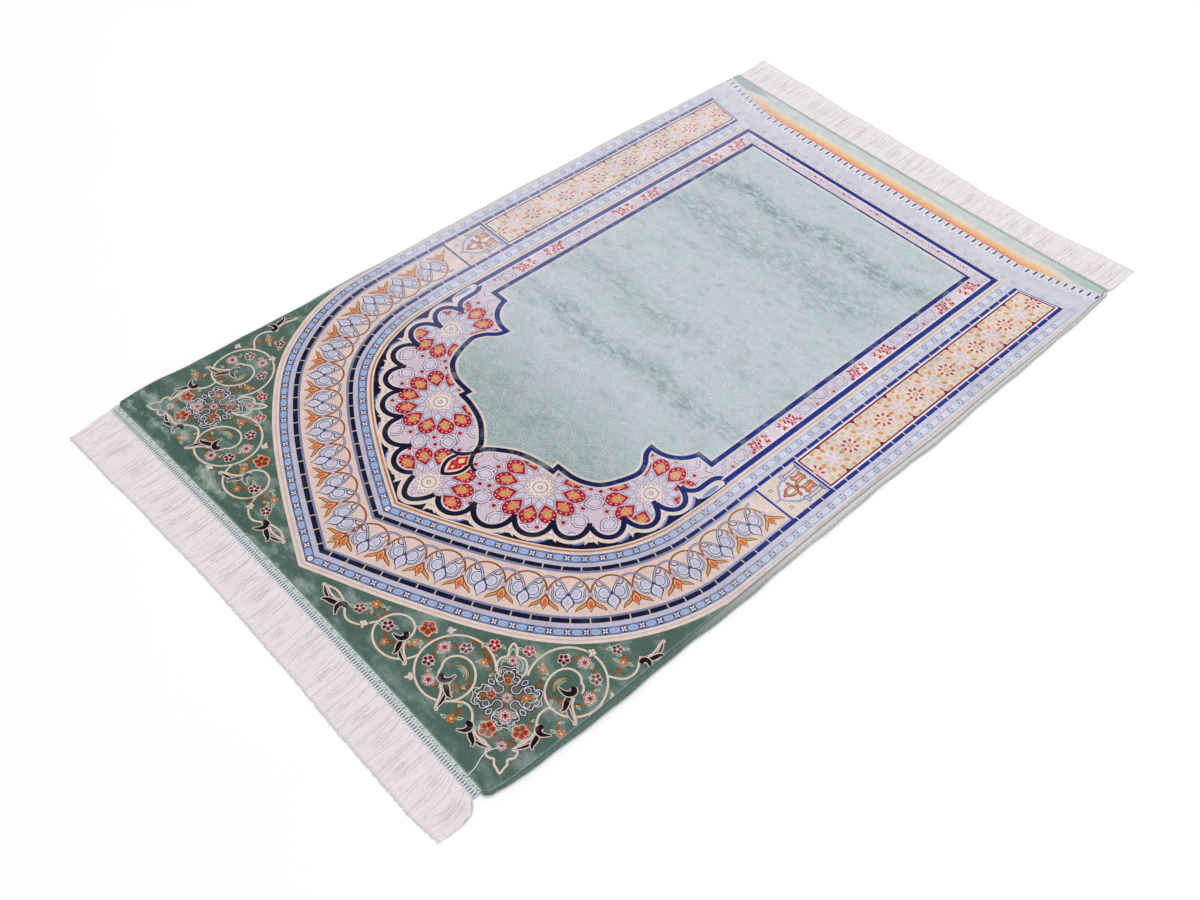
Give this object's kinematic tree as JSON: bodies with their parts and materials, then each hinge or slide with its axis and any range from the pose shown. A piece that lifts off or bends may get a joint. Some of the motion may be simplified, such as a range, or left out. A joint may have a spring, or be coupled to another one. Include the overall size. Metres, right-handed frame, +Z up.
{
  "type": "prayer rug",
  "caption": "Flat pile prayer rug with a pointed arch field, overcast side bindings and a yarn fringe on a woven heading at each end.",
  "frame": {"origin": "centre of the floor area that the rug covers, on its underside", "axes": "+X across the rug, +Y along it towards the arch end, +Z up through the pile"},
  "size_m": [0.8004, 1.3874, 0.006],
  "materials": {
    "pile": "silky cut pile",
    "binding": "overcast yarn",
    "fringe": "soft plied yarn"
  },
  "bodies": {
    "root": {"pile_cloth": "pile", "side_binding_left": "binding", "side_binding_right": "binding", "arch_fringe": "fringe", "foot_fringe": "fringe"}
  },
  "joints": []
}
